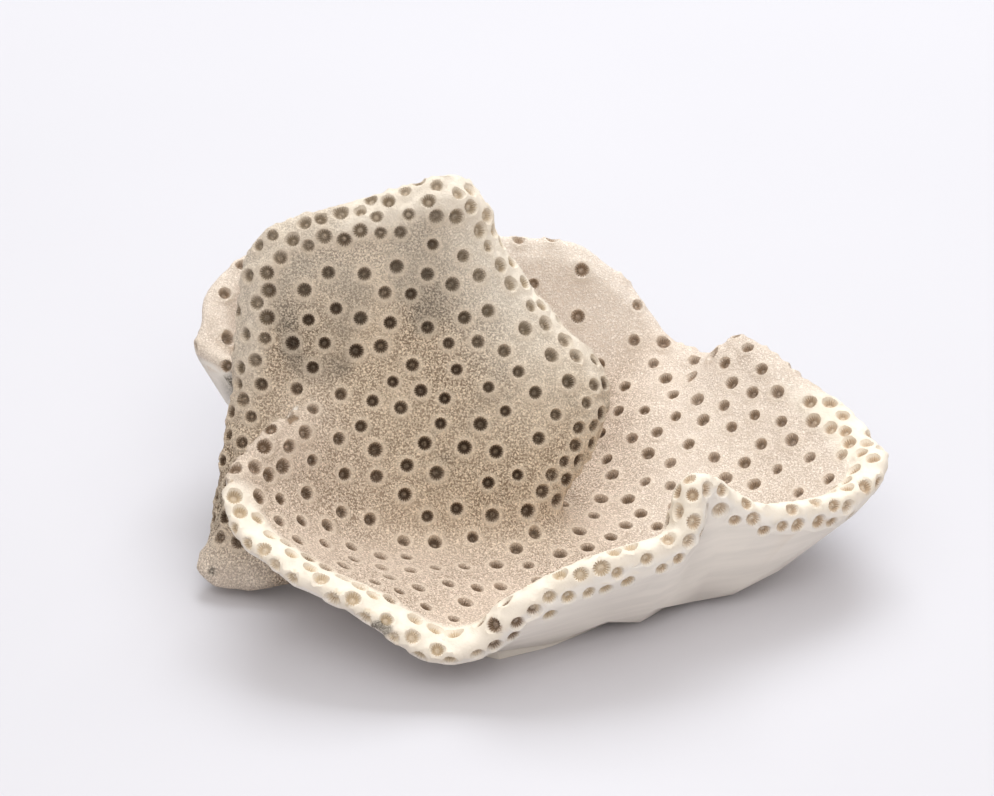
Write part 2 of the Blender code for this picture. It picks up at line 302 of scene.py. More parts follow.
def relaxed(points: Array, edges: Array, weight: Array, rounds: int) -> Array:
    """Points drawn towards the middle of their neighbours.

    Args:
        points: The vertex positions.
        edges: Pairs of vertex numbers.
        weight: How far each point moves in a round, from 0 to 1.
        rounds: How often they move.

    Returns:
        The new positions.
    """
    count = len(points)
    ends = np.concatenate([edges[:, 0], edges[:, 1]])
    others = np.concatenate([edges[:, 1], edges[:, 0]])
    neighbours = np.maximum(np.bincount(ends, minlength=count), 1)
    for _ in range(rounds):
        sums = [np.bincount(ends, weights=points[others, k], minlength=count) for k in range(3)]
        middle = np.stack([total / neighbours for total in sums], axis=1)
        points = points + (middle - points) * weight[:, None]
    return points


def mesh_edges(mesh: bpy.types.Mesh) -> Array:
    """Pairs of vertex numbers, one for each edge of the mesh."""
    return values_of(mesh.edges, "vertices", 2, np.int32)


@dataclass
class Plate:
    """A plate of coral that grows on both sides of a middle surface."""

    edge_reach: float = 0.42
    edge_height: float = 0.36
    edge_turns: Sequence[float] = (0.75, 0.0, -0.75)

    def surface(self, a: Array, b: Array) -> tuple[Array, Array, Array]:
        """Points, unit normals and thickness for square coordinates from -1 to 1.

        Args:
            a: The first coordinate of each place.
            b: The second one.

        Returns:
            Three arrays, with one row for each place.
        """
        raise NotImplementedError

    def half(self, a: Array, b: Array, thickness: Array) -> Array:
        """Half of the thickness, which is drawn in along the border of the square."""
        on_border = np.maximum(abs(a), abs(b)) > ON_BORDER
        return np.where(on_border, 2 * self.edge_height, 1.0) * thickness / 2

    def edge(self, way: Array) -> tuple[Array, Array, Array, Array]:
        """The middle surface's border: points, normals, directions outwards and thickness.

        Args:
            way: How far round the square each place is, from 0 to 4.

        Returns:
            Four arrays, with one row for each place.
        """
        here, normal, thickness = self.surface(*square_border(way))
        ahead = self.surface(*square_border(way + SLOPE_STEP))[0]
        behind = self.surface(*square_border(way - SLOPE_STEP))[0]
        return here, normal, unit(np.cross(ahead - behind, normal)), thickness

    def solid(self, cells: int, swell: float = 0.0) -> Solid:
        """The plate as a closed mesh with a rounded edge.

        Args:
            cells: Cells along each side of the square.
            swell: How far the mesh stands out from the plate's own faces, in metres.

        Returns:
            The vertices and the faces.
        """
        steps = np.linspace(-1, 1, cells + 1)
        a, b = (grid.ravel() for grid in np.meshgrid(steps, steps))
        middle, normal, thickness = self.surface(a, b)
        half = (self.half(a, b, thickness) + swell)[:, None]
        way = np.linspace(0, 4, 4 * cells, endpoint=False)
        border, edge_normal, outward, edge_thickness = self.edge(way)
        rings = []
        for turn in self.edge_turns:
            reach = (edge_thickness * self.edge_reach + swell) * math.cos(turn)
            height = (edge_thickness * self.edge_height + swell) * math.sin(turn)
            rings.append(border + outward * reach[:, None] + edge_normal * height[:, None])
        size, around = (cells + 1) ** 2, len(way)
        vertices = np.vstack([middle + normal * half, middle - normal * half, *rings])
        corner = (np.arange(cells)[:, None] * (cells + 1) + np.arange(cells)).ravel()
        upper = np.stack([corner, corner + 1, corner + cells + 2, corner + cells + 1], axis=1)
        lower = upper[:, ::-1] + size
        on_a, on_b = square_border(way)
        column = np.rint((on_a + 1) / 2 * cells).astype(int)
        row = np.rint((on_b + 1) / 2 * cells).astype(int)
        border_index = row * (cells + 1) + column
        loops = [2 * size + k * around + np.arange(around) for k in range(len(rings))]
        loops = [border_index, *loops, border_index + size]
        faces = [upper, lower]
        for high, low in zip(loops[:-1], loops[1:]):
            faces.append(np.stack([high, low, np.roll(low, -1), np.roll(high, -1)], axis=1))
        return vertices, [tuple(face) for face in np.vstack(faces).tolist()]


@dataclass
class DishPlate(Plate):
    """The ruffled dish, with the leaf that curls up behind it.

    A station of its edge is x, y and z in mm, the share of the way out at which the plate starts
    to rise there, and the thickness of the edge in mm. A swell is x, y, height and radius in mm.
    """

    thickness: float = 6.0 * MM
    floor: Station = (0.0, 0.0, 3.2 * MM)
    rise: float = 1.7
    lump_height: float = 0.5 * MM
    lump_size: float = 14 * MM
    swells: Sequence[Station] = ((16.7, 33.6, 3.5, 10), (37.7, 5.6, -1.0, 12))
    left_lip: Sequence[Station] = (
        (-37.0, 4.6, 28.3, 0.35, 3.6), (-38.8, 1.1, 29.6, 0.35, 3.6),
        (-42.2, -2.9, 27.9, 0.35, 3.6), (-45.6, -6.9, 26.1, 0.3, 3.6),
        (-47.6, -10.9, 24.8, 0.3, 3.6), (-48.2, -14.9, 23.1, 0.25, 3.6),
        (-47.2, -18.4, 20.9, 0.2, 3.6), (-44.8, -21.9, 19.2, 0.2, 3.6),
    )
    front_edge: Sequence[Station] = (
        (-40.2, -25.9, 18.0, 0.2, 3.6), (-35.8, -28.9, 16.6, 0.2, 3.6),
        (-31.0, -30.9, 15.3, 0.2, 3.6), (-26.1, -32.9, 13.2, 0.2, 3.8),
        (-20.7, -34.9, 10.0, 0.2, 4.2), (-14.5, -35.9, 7.6, 0.3, 4.6), (-7.9, -35.4, 9.2, 0.5, 5.0),
        (-3.5, -34.4, 13.6, 0.6, 5.4), (2.5, -32.4, 16.4, 0.62, 5.6), (9.4, -29.9, 18.9, 0.63, 5.6),
        (16.1, -27.4, 19.9, 0.62, 5.6),
    )
    front_ruffle: Sequence[Station] = (
        (22.2, -24.9, 20.4, 0.65, 5.4), (25.2, -22.4, 23.8, 0.70, 5.2),
        (25.3, -19.4, 27.7, 0.75, 5.0), (28.5, -17.0, 26.2, 0.75, 4.4),
        (32.0, -15.8, 22.8, 0.75, 4.0), (35.9, -14.6, 19.9, 0.75, 4.0),
    )
    right_lobe: Sequence[Station] = (
        (40.6, -12.8, 18.5, 0.74, 4.4), (46.3, -9.4, 17.4, 0.7, 4.8), (52.1, -5.4, 17.2, 0.62, 4.8),
        (56.4, -0.4, 17.8, 0.5, 4.8), (58.0, 4.1, 18.2, 0.4, 4.8), (56.5, 8.6, 17.8, 0.3, 4.6),
        (54.6, 14.6, 18.7, 0.3, 4.6), (51.0, 19.6, 19.8, 0.3, 4.6),
    )
    back_right_lobe: Sequence[Station] = (
        (46.6, 24.6, 20.6, 0.3, 4.6), (42.6, 29.6, 22.1, 0.3, 4.6), (39.4, 33.6, 22.7, 0.35, 4.6),
        (36.8, 36.6, 22.6, 0.35, 4.6), (34.1, 38.6, 18.7, 0.3, 4.6), (31.5, 40.1, 16.4, 0.3, 4.6),
        (29.0, 41.9, 17.0, 0.35, 4.2), (25.9, 44.2, 16.9, 0.42, 4.0),
    )
    back_edge: Sequence[Station] = (
        (23.3, 46.6, 18.2, 0.5, 4.0), (21.0, 48.8, 20.4, 0.56, 4.4), (18.6, 50.8, 23.0, 0.6, 4.8),
        (16.5, 52.6, 25.4, 0.6, 5.0), (12.9, 54.1, 27.8, 0.62, 5.0), (8.5, 55.6, 30.5, 0.62, 5.0),
        (3.1, 56.1, 31.2, 0.62, 5.0), (-4.1, 56.1, 31.6, 0.62, 5.0), (-18, 55.5, 33.0, 0.62, 5.0),
        (-33, 52, 34.5, 0.62, 5.0), (-41, 48.8, 35.2, 0.62, 5.0),
    )
    left_lobe: Sequence[Station] = (
        (-46.7, 45.1, 35.3, 0.6, 5.0), (-50.2, 40.6, 35.1, 0.6, 5.0), (-53.1, 36.6, 33.9, 0.6, 5.0),
        (-54.6, 33.1, 32.2, 0.55, 5.0), (-54.6, 29.6, 30.2, 0.5, 5.0),
        (-55.5, 26.6, 28.0, 0.45, 5.0), (-54.0, 24.1, 27.0, 0.4, 4.8),
        (-50.3, 20.6, 26.7, 0.4, 4.6), (-44, 15.5, 27, 0.4, 4.2), (-39, 10, 27.5, 0.38, 3.8),
    )

    def __post_init__(self) -> None:
        """Joins the stations into one edge."""
        front = (*self.left_lip, *self.front_edge, *self.front_ruffle)
        rest = (*self.right_lobe, *self.back_right_lobe, *self.back_edge, *self.left_lobe)
        self.outline = curve_through((*front, *rest), closed=True)

    def polar(self, out: Array, angle: Array) -> tuple[Array, Array]:
        """Middle points and thickness for a share of the way out and an angle.

        Args:
            out: From 0 in the middle of the dish to 1 at its edge.
            angle: The direction from the middle, in radians.

        Returns:
            Two arrays, with one row for each place.
        """
        edge = self.outline((angle / math.tau + 0.5) % 1.0)
        floor = np.array(self.floor)
        points = floor + (edge[:, :3] - floor) * out[:, None]
        turn = edge[:, 3]
        rise = np.clip((out - turn) / (1 - turn), 0, None) ** self.rise
        points[:, 2] = floor[2] + (edge[:, 2] - floor[2]) * rise
        for sx, sy, height, radius in np.array(self.swells) * MM:
            apart = np.hypot(points[:, 0] - sx, points[:, 1] - sy) / radius
            points[:, 2] += height * np.exp(-(apart**2))
        points[:, 2] += noise_at(points, self.lump_size) * self.lump_height
        return points, self.thickness + (edge[:, 4] * MM - self.thickness) * out**2

    def surface(self, a: Array, b: Array) -> tuple[Array, Array, Array]:
        """Points, unit normals and thickness for square coordinates from -1 to 1.

        Args:
            a: The first coordinate of each place.
            b: The second one.

        Returns:
            Three arrays, with one row for each place.
        """
        x, y = a * np.sqrt(1 - b * b / 2), b * np.sqrt(1 - a * a / 2)
        out, angle = np.hypot(x, y), np.arctan2(y, x)
        here, thickness = self.polar(out, angle)
        far = np.maximum(out, 0.2)
        turned = SLOPE_STEP / far
        further = self.polar(np.clip(out + SLOPE_STEP, 0, 1), angle)[0]
        nearer = self.polar(np.clip(out - SLOPE_STEP, 0, 1), angle)[0]
        around = self.polar(far, angle + turned)[0] - self.polar(far, angle - turned)[0]
        return here, unit(np.cross(further - nearer, around)), thickness


@dataclass
class FrondPlate(Plate):
    """The upright frond that rises from the left of the dish and leans back.

    Its stations are x, y and z in mm. The left and right edges run upwards, and the foot and the
    top run from left to right.
    """

    thickness: float = 7.0 * MM
    edge_thickness: float = 6.0 * MM
    crown: float = 3.0 * MM
    lump_height: float = 0.5 * MM
    lump_size: float = 14 * MM
    left: Sequence[Station] = (
        (-53.6, -5.8, 4.4), (-51.6, -3.4, 6.2), (-50.5, -0.9, 9.9), (-49.9, 2.1, 13.9),
        (-48.9, 6.1, 19.3), (-48.3, 9.6, 25.0), (-47.4, 12.6, 31.0), (-46.8, 15.1, 37.2),
        (-46.4, 17.6, 43.4), (-45.4, 19.6, 47.6), (-42.5, 20.6, 51.0),
    )
    top: Sequence[Station] = (
        (-42.5, 20.6, 51.0), (-37.9, 21.6, 52.4), (-31.6, 22.6, 54.1), (-26.3, 23.6, 55.1),
        (-21.3, 24.6, 56.4), (-16.6, 25.6, 57.6), (-13.0, 27.1, 57.6), (-10.7, 28.6, 55.4),
        (-9.7, 29.1, 52.1),
    )
    right: Sequence[Station] = (
        (3.1, 0.6, 5.0), (3.4, 3.6, 7.5), (4.8, 6.6, 11.1), (7.3, 9.6, 15.2), (9.7, 13.1, 19.4),
        (11.3, 17.1, 23.6), (9.9, 20.1, 27.1), (4.5, 23.6, 31.4), (-1.9, 26.6, 37.9),
        (-6.9, 28.6, 44.8), (-9.7, 29.1, 52.1),
    )
    foot: Sequence[Station] = (
        (-53.6, -5.8, 4.4), (-51.2, -7.4, 3.6), (-46.9, -8.3, 3.3), (-41.2, -8.4, 4.6),
        (-33, -6, 3.5), (-18.3, -2.4, 3.2), (-5.3, -1.4, 3.2), (3.1, 0.6, 5.0),
    )

    def __post_init__(self) -> None:
        """Makes the four edges' curves."""
        edges = (self.left, self.right, self.foot, self.top)
        self.sides = [curve_through(edge, closed=False) for edge in edges]

    def square(self, a: Array, b: Array) -> tuple[Array, Array]:
        """Middle points and thickness: a runs left to right and b upwards.

        Args:
            a: From -1 at the left to 1 at the right.
            b: From -1 at the foot to 1 at the top.

        Returns:
            Two arrays, with one row for each place.
        """
        left, right, foot, top = self.sides
        u, v = ((a + 1) / 2)[:, None], ((b + 1) / 2)[:, None]
        corners = (1 - u) * (1 - v) * left(0.0) + u * (1 - v) * right(0.0)
        corners = corners + (1 - u) * v * left(1.0) + u * v * right(1.0)
        across, up = u[:, 0], v[:, 0]
        sides = (1 - u) * left(up) + u * right(up)
        points = sides + (1 - v) * foot(across) + v * top(across) - corners
        crown = (1 - across**6) * (1 - (1 - across) ** 3)
        crown = crown * np.sqrt(np.sin(math.pi * np.clip(up, 0, 1)))
        points[:, 1] -= self.crown * crown + noise_at(points, self.lump_size) * self.lump_height
        out = np.maximum(abs(a), abs(b))
        return points, self.thickness + (self.edge_thickness - self.thickness) * out**4

    def surface(self, a: Array, b: Array) -> tuple[Array, Array, Array]:
        """Points, unit normals and thickness for square coordinates from -1 to 1.

        Args:
            a: The first coordinate of each place.
            b: The second one.

        Returns:
            Three arrays, with one row for each place.
        """
        here, thickness = self.square(a, b)
        low_a, high_a = np.clip(a - SLOPE_STEP, -1, 1), np.clip(a + SLOPE_STEP, -1, 1)
        low_b, high_b = np.clip(b - SLOPE_STEP, -1, 1), np.clip(b + SLOPE_STEP, -1, 1)
        along = self.square(high_a, b)[0] - self.square(low_a, b)[0]
        up = self.square(a, high_b)[0] - self.square(a, low_b)[0]
        return here, unit(np.cross(along, up)), thickness


@dataclass
class Stump:
    """The low stump under the dish, where the coral was cut off its rock."""

    height: float = 4.5 * MM
    below: float = 3 * MM
    taper: float = 0.94
    sides: int = 90
    outline: Sequence[Station] = (
        (-7.4, -27.4), (4.7, -22.9), (14.7, -15.4), (22.5, -10.5), (27.0, 0.5), (22.7, 14.6),
        (10.7, 22.1), (-5.3, 24.1), (-18.3, 17.6), (-23.3, 1.6), (-19.0, -17.8),
    )

    def solid(self, swell: float = 0.0) -> Solid:
        """The stump as a closed mesh that reaches below the cut.

        Args:
            swell: How far the mesh stands out from the stump, in metres.

        Returns:
            The vertices and the faces.
        """
        follow = curve_through([(x, y, 0) for x, y in self.outline], closed=True)
        ring = follow(np.linspace(0, 1, self.sides, endpoint=False))
        ring = ring[:, :2] * (1 + swell / np.linalg.norm(ring[:, :2], axis=1)[:, None])
        count = len(ring)
        low = np.column_stack([ring, np.full(count, -self.below)])
        high = np.column_stack([ring * self.taper, np.full(count, self.height + swell)])
        faces = [tuple(range(count))[::-1], tuple(range(count, 2 * count))]
        for index in range(count):
            after = (index + 1) % count
            faces.append((index, after, count + after, count + index))
        return np.vstack([low, high]), faces


@dataclass
class Survey:
    """What is known of places on the coral.

    Attributes:
        side: From -1 on a plate's lower face to 1 on its upper face, and 0 on its edge.
        rim: The distance to the plate's free edge, in metres.
        frond: From 0 on the dish to 1 on the frond, with a soft change at their fork.
        across: How far right on the plate, from -1 to 1.
        fork: The distance to the farther of the two plates, in metres.
    """

    side: Array
    rim: Array
    frond: Array
    across: Array
    fork: Array


@dataclass
class Surveyor:
    """Tells for any place on the coral where it lies on the plates."""

    dish: DishPlate
    frond: FrondPlate
    cells: int = 150
    edge_samples: int = 1600
    buried: float = 4.5 * MM
    soft_fork: float = 9 * MM

    def __post_init__(self) -> None:
        """Samples the faces and the free edges of both plates."""
        steps = np.linspace(-1, 1, self.cells)
        self.a, b = (grid.ravel() for grid in np.meshgrid(steps, steps))
        way = np.linspace(0, 4, self.edge_samples, endpoint=False)
        middles, self.skins, self.gaps = [], [], []
        for plate in (self.dish, self.frond):
            middle, normal, thickness = plate.surface(self.a, b)
            half = plate.half(self.a, b, thickness)[:, None]
            middles.append(middle)
            self.skins.append([kd_tree(middle + normal * half), kd_tree(middle - normal * half)])
            self.gaps.append(2 * half[:, 0])
        dish_edge, frond_edge = self.dish.edge(way)[0], self.frond.edge(way)[0]
        frond_tree = kd_tree(middles[1])
        free_dish = distances(frond_tree, dish_edge) > self.buried
        free_frond = square_border(way)[1] > -ON_BORDER
        edges = (kd_tree(dish_edge[free_dish]), kd_tree(frond_edge[free_frond]))
        self.rim = [distances(tree, points) for tree, points in zip(edges, middles)]

    def of(self, points: Array) -> Survey:
        """Surveys the points.

        Args:
            points: Places on or near the coral's surface.

        Returns:
            What is known of them.
        """
        found = [[[tree.find(p)[1:] for p in points] for tree in pair] for pair in self.skins]
        hits = np.array(found)
        apart, index = hits[..., 1], hits[..., 0].astype(int)
        near = apart.min(axis=1)
        frond = near[1] < near[0]
        plate = frond.astype(int)
        row = np.arange(len(points))
        upper, lower = apart[plate, 0, row], apart[plate, 1, row]
        face = (lower < upper).astype(int)
        sample = index[plate, face, row]
        rim = np.where(frond, self.rim[1][sample], self.rim[0][sample])
        gap = np.where(frond, self.gaps[1][sample], self.gaps[0][sample])
        return Survey(
            side=np.clip((lower - upper) / gap, -1, 1),
            rim=rim,
            frond=ease(-self.soft_fork, self.soft_fork, near[0] - near[1]),
            across=self.a[sample],
            fork=near.max(axis=0),
        )


@dataclass
class Cup:
    """One coral cup: its mouth, its direction and its size in metres."""

    centre: Vector
    axis: Vector
    radius: float
    depth: float
    turn: float
    tone: float


@dataclass
class CupMaker:
    """Sets the cups out over the coral and cuts them."""

    septa: int = 16
    face_spacing: float = 4.45 * MM
    frond_spacing: float = 4.35 * MM
    leaf_spacing: float = 6.2 * MM
    rim_spacing: float = 2.7 * MM
    rim_width: float = 4.0 * MM
    face_radius: float = 1.12 * MM
    rim_radius: float = 1.24 * MM
    collar: float = 0.2 * MM
    rim_collar: float = 0.36 * MM
    collar_reach: float = 1.25
    mouth_room: float = 1.12
    floor_room: float = 0.8
    cutter_top: float = 0.65
    pillar_top: float = -0.58
    seed: int = 23
    # Each ring of a cutter: height and reach at a groove, then height and reach at a septum,
    # as shares of the cup's depth and radius
    rings: Sequence[Station] = (
        (0.6, 1.25, 0.6, 1.25), (0.0, 1.03, 0.0, 0.98), (-0.5, 0.92, -0.34, 0.66),
        (-1.0, 0.62, -0.78, 0.42), (-0.92, 0.3, -0.7, 0.26),
    )
    cups: list[Cup] = field(default_factory=list)

    def set_out(self, points: Array, normals: Array, survey: Survey, leaf: Array) -> None:
        """Chooses the cups' places among the points, nowhere closer than their spacing.

        Args:
            points: Places on the surface.
            normals: The surface's directions there.
            survey: What is known of them.
            leaf: How far each is on the back leaf, from 0 to 1.
        """
        chance = random.Random(self.seed)
        near_rim = 1 - ease(self.rim_width * 0.75, self.rim_width * 1.6, survey.rim)
        band = survey.frond * ease(0.3, 0.7, survey.across) * ease(22 * MM, 34 * MM, points[:, 2])
        near_rim = near_rim * (1 - 0.9 * leaf) * (1 - 0.85 * back_right(points))
        open_face = survey.side > np.where(survey.rim < 0.8 * MM, -0.55, 0.5)
        band_below = (points[:, 0] > -14 * MM) & (points[:, 1] < -6 * MM) & (survey.rim < 2.0 * MM)
        open_face = open_face | band_below
        near_rim = near_rim * ease(1.5 * MM, 7 * MM, survey.fork)
        foot = (points[:, 0] < -40 * MM) & (points[:, 2] < 9 * MM)
        order = list(np.flatnonzero(open_face & ~foot & (points[:, 2] > 2 * MM)))
        chance.shuffle(order)
        order.sort(key=lambda k: near_rim[k] < 0.6)
        face = self.face_spacing + (self.frond_spacing - self.face_spacing) * survey.frond
        face = face + (self.leaf_spacing - face) * leaf
        spacings = face + (self.rim_spacing - face) * near_rim
        wide = np.maximum(near_rim * (1 - 0.7 * survey.frond), 0.9 * band)
        radii = self.face_radius + (self.rim_radius - self.face_radius) * wide
        grid: dict[tuple[int, ...], list[Cup]] = {}
        around = list(itertools.product(range(-2, 3), repeat=3))
        for k in order:
            radius = radii[k] * chance.uniform(0.86, 1.14)
            depth = radius * (1.05 - 0.3 * near_rim[k])
            turn, tone = chance.uniform(0, math.tau), chance.uniform(0.5, 1.0)
            cup = Cup(Vector(points[k]), Vector(normals[k]), radius, depth, turn, tone)
            spacing = spacings[k] * chance.uniform(0.94, 1.14)
            key = tuple(int(c // self.rim_spacing) for c in points[k])
            cells = (grid.get(tuple(map(sum, zip(key, step))), ()) for step in around)
            if any(self.clash(cup, other, spacing) for cell in cells for other in cell):
                continue
            grid.setdefault(key, []).append(cup)
            self.cups.append(cup)

    def clash(self, cup: Cup, other: Cup, spacing: float) -> bool:
        """Whether two cups are closer than the spacing, or meet at their floors.

        Args:
            cup: A new cup.
            other: A cup that is set out already.
            spacing: The least distance between their mouths, in metres.

        Returns:
            Whether the new cup has no room.
        """
        room = cup.radius + other.radius
        mouths = (cup.centre - other.centre).length
        floors = cup.centre - cup.axis * cup.depth - other.centre + other.axis * other.depth
        too_close = mouths < max(spacing, self.mouth_room * room)
        return too_close or floors.length < self.floor_room * room

    def raise_collars(self, points: Array, normals: Array, survey: Survey) -> Array:
        """Lifts the surface in a low ring round each cup.

        Args:
            points: The surface's vertices.
            normals: Its directions there.
            survey: What is known of them.

        Returns:
            The new positions.
        """
        tree = kd_tree(np.array([cup.centre for cup in self.cups]))
        lift = np.zeros(len(points))
        near_rim = 1 - ease(3 * MM, 6 * MM, survey.rim)
        height = self.collar + (self.rim_collar - self.collar) * near_rim
        for k, point in enumerate(points):
            _, index, apart = tree.find(point)
            cup = self.cups[index]
            away = (apart - self.collar_reach * cup.radius) / (0.42 * cup.radius)
            if abs(away) < 3 and cup.axis.dot(Vector(normals[k])) > 0.3:
                lift[k] = height[k] * math.exp(-away * away)
        return points + normals * lift[:, None]

    def cutters(self) -> bpy.types.Object:
        """All cups as one mesh of closed cutters: a star of septa round a low pillar.

        Returns:
            The object.
        """
        around = 2 * self.septa
        angle = np.arange(around) / around * math.tau
        septum = np.arange(around) % 2 == 1
        size = around * len(self.rings) + 2
        vertices, faces = [], []
        for number, cup in enumerate(self.cups):
            upright = cup.axis.to_track_quat("Z", "Y").to_matrix().to_4x4()
            turned = upright @ Matrix.Rotation(cup.turn, 4, "Z")
            matrix = np.array(Matrix.Translation(cup.centre) @ turned)
            rings = []
            for low, groove, high, crest in self.rings:
                reach = np.where(septum, crest, groove) * cup.radius
                height = np.where(septum, high, low) * cup.depth
                across, along = np.cos(angle) * reach, np.sin(angle) * reach
                rings.append(np.column_stack([across, along, height]))
            tops = (self.cutter_top, self.pillar_top)
            rings.append(np.array([[0, 0, top * cup.depth] for top in tops]))
            vertices.append(np.vstack(rings) @ matrix[:3, :3].T + matrix[:3, 3])
            base = number * size
            for k in range(around):
                after = (k + 1) % around
                last = base + size - 2 - around
                faces.append((base + size - 2, base + k, base + after))
                faces.append((base + size - 1, last + after, last + k))
                for level in range(len(self.rings) - 1):
                    upper = base + level * around
                    lower = upper + around
                    faces.append((upper + k, lower + k, lower + after, upper + after))
        return new_object("cup_cutters", np.vstack(vertices), faces)

    def marks(self, points: Array) -> tuple[Array, Array]:
        """How deep in a cup each point lies, and how close it is to a cup's collar.

        Args:
            points: Places on the finished coral.

        Returns:
            Two values from 0 to 1 for each point: pit and collar.
        """
        centres = np.array([cup.centre for cup in self.cups])
        axes = np.array([cup.axis for cup in self.cups])
        radius = np.array([cup.radius for cup in self.cups])
        depth = np.array([cup.depth for cup in self.cups])
        tone = np.array([cup.tone for cup in self.cups])
        tree = kd_tree(centres - axes * depth[:, None] * 0.4)
        index = np.array([tree.find(p)[1] for p in points])
        off = points - centres[index]
        height = (off * axes[index]).sum(axis=1)
        away = np.linalg.norm(off - height[:, None] * axes[index], axis=1) / radius[index]
        sunk = -height / depth[index]
        inside = (1 - ease(1.02, 1.12, away)) * ease(-0.15, 0.1, sunk)
        pillar = 1.4 * (1 - ease(0.25, 0.5, away))
        above_floor = 1 - ease(1.15, 1.35, sunk)
        # The pit mark grows darker towards a cup's floor and lighter on its pillar: partly the
        # cups' own brown, partly painted shade in the hollow.
        pit = inside * ease(-0.1, 0.7, sunk) * above_floor * (1 - 0.5 * pillar) * tone[index]
        level = 1 - ease(0.4, 1.1, abs(height) / depth[index])
        outside = 1 - inside * ease(0.05, 0.3, sunk)
        collar = np.exp(-(((away - self.collar_reach) / 0.33) ** 2)) * level * outside
        return pit, collar


@dataclass
class Growth:
    """The whole coral as one surface, from which the three pieces are cut.

    The balls and spots are x, y, z and radius in mm. The plane between the leaf and the dish
    stands on the fork line, whose two ends are x and y in mm. The crease is an angle in degrees.
    """

    dish: DishPlate = field(default_factory=DishPlate)
    frond: FrondPlate = field(default_factory=FrondPlate)
    stump: Stump = field(default_factory=Stump)
    cup_maker: CupMaker = field(default_factory=CupMaker)
    dish_cells: int = 150
    frond_cells: int = 110
    region_cells: int = 60
    voxel: float = 0.66 * MM
    region_voxel: float = 1.1 * MM
    kept_share: float = 0.52
    crease: float = 38.0
    fork_reach: float = 8 * MM
    fork_rounds: int = 130
    fork_line: Sequence[Station] = ((-60.3, 14.6), (25.7, 42.6))
    fills: Sequence[Station] = (
        (-35.5, 3.2, 26.5, 3.4), (-35.5, 0.5, 20.5, 4.2), (-34.5, -2.5, 15.0, 3.6),
    )
    fill_reach: float = 10 * MM
    smooth_spots: Sequence[Station] = (
        (24.5, -13.0, 5.0, 9.0), (25.5, -18.5, 15.0, 8.0), (23.5, -16.0, 7.0, 9.0),
    )
    stains: Sequence[Station] = (
        (-24.0, -36.2, 11.8, 2.3), (-50.2, 17.6, 25.3, 2.9), (-52.6, -9.0, 5.0, 0.9),
        (27.5, -12.5, 5.5, 0.5),
    )
    brown_cups: Sequence[Station] = ((-4.5, -36.0, 12.5, 7.0), (21.7, -17.0, 21.0, 4.5))
    dusk: Sequence[Station] = (
        (-35.2, 13.0, 43.0, 11.0), (-35.0, 10.0, 37.0, 9.0), (-12.0, 12.0, 42.0, 10.0),
        (-16.5, 17.0, 48.5, 9.0),
    )

    def __post_init__(self) -> None:
        """Makes the surveyor of the two plates."""
        self.surveyor = Surveyor(self.dish, self.frond)

    def whole(self) -> bpy.types.Object:
        """The plates and the stump fused into one even mesh."""
        solids = [self.dish.solid(self.dish_cells), self.frond.solid(self.frond_cells)]
        solids.append(self.stump.solid())
        solids += [self.ball(Vector(centre) * MM, radius * MM) for *centre, radius in self.fills]
        return fused("coral", solids, self.voxel)

    @staticmethod
    def ball(centre: Vector, radius: float) -> Solid:
        """A closed ball, which fills the corner where two plates meet.

        Args:
            centre: Its middle, in metres.
            radius: Its radius, in metres.

        Returns:
            The vertices and the faces.
        """
        bm = bmesh.new()
        place = Matrix.Translation(centre)
        bmesh.ops.create_icosphere(bm, subdivisions=4, radius=radius, matrix=place)
        vertices = np.array([vertex.co for vertex in bm.verts])
        faces = [tuple(vertex.index for vertex in face.verts) for face in bm.faces]
        bm.free()
        return vertices, faces

    def leaf_share(self, points: Array) -> Array:
        """How far each point is on the back leaf, from 0 to 1.

        Args:
            points: Places on the coral.

        Returns:
            One value for each place.
        """
        start, end = (np.array(station) * MM for station in self.fork_line)
        along = (end - start) / np.linalg.norm(end - start)
        behind = (points[:, 1] - start[1]) * along[0] - (points[:, 0] - start[0]) * along[1]
        return ease(-3 * MM, 9 * MM, behind)

    def shape(self) -> bpy.types.Object:
        """The coral's surface with its forks rounded out, its unevenness and its cups.

        Returns:
            The object, before its base is cut flat.
        """
        made = self.whole()
        mesh = made.data
        edges = mesh_edges(mesh)
        points = positions(mesh)
        survey = self.surveyor.of(points)
        fork = 1 - ease(0.0, self.fork_reach, survey.fork)
        filled = kd_tree(np.array(self.fills)[:, :3] * MM)
        apart = distances(filled, points)
        fork = np.maximum(fork, 1 - ease(4 * MM, self.fill_reach, apart))
        for ball in self.smooth_spots:
            fork = np.maximum(fork, 1 - ease(0.4, 1.0, reach_of(points, ball)))
        points = relaxed(points, edges, 0.5 * np.ones(len(points)), 5)
        points = relaxed(points, edges, 0.5 * fork, self.fork_rounds)
        place_vertices(mesh, points)
        normals = vertex_normals(mesh)
        near_rim = 1 - ease(0, 6 * MM, survey.rim)
        crumbly = np.maximum(near_rim * survey.frond, 0.9 * foot_lobe(points))
        rough = noise_at(points, 5 * MM, 3.0) * (0.16 + 0.42 * crumbly)
        rough += noise_at(points, 2.2 * MM, 7.0) * (0.04 + 0.06 * near_rim + 0.24 * crumbly)
        points = points + normals * (rough * MM)[:, None]
        place_vertices(mesh, points)
        normals = vertex_normals(mesh)
        self.cup_maker.set_out(points, normals, survey, self.leaf_share(points))
        LOG.info("set out %d cups", len(self.cup_maker.cups))
        place_vertices(mesh, self.cup_maker.raise_collars(points, normals, survey))
        self.thin_out(made, survey)
        cutters = self.cup_maker.cutters()
        self.boolean(made, cutters, Keep.OUTSIDE)
        bpy.data.objects.remove(cutters)
        return made

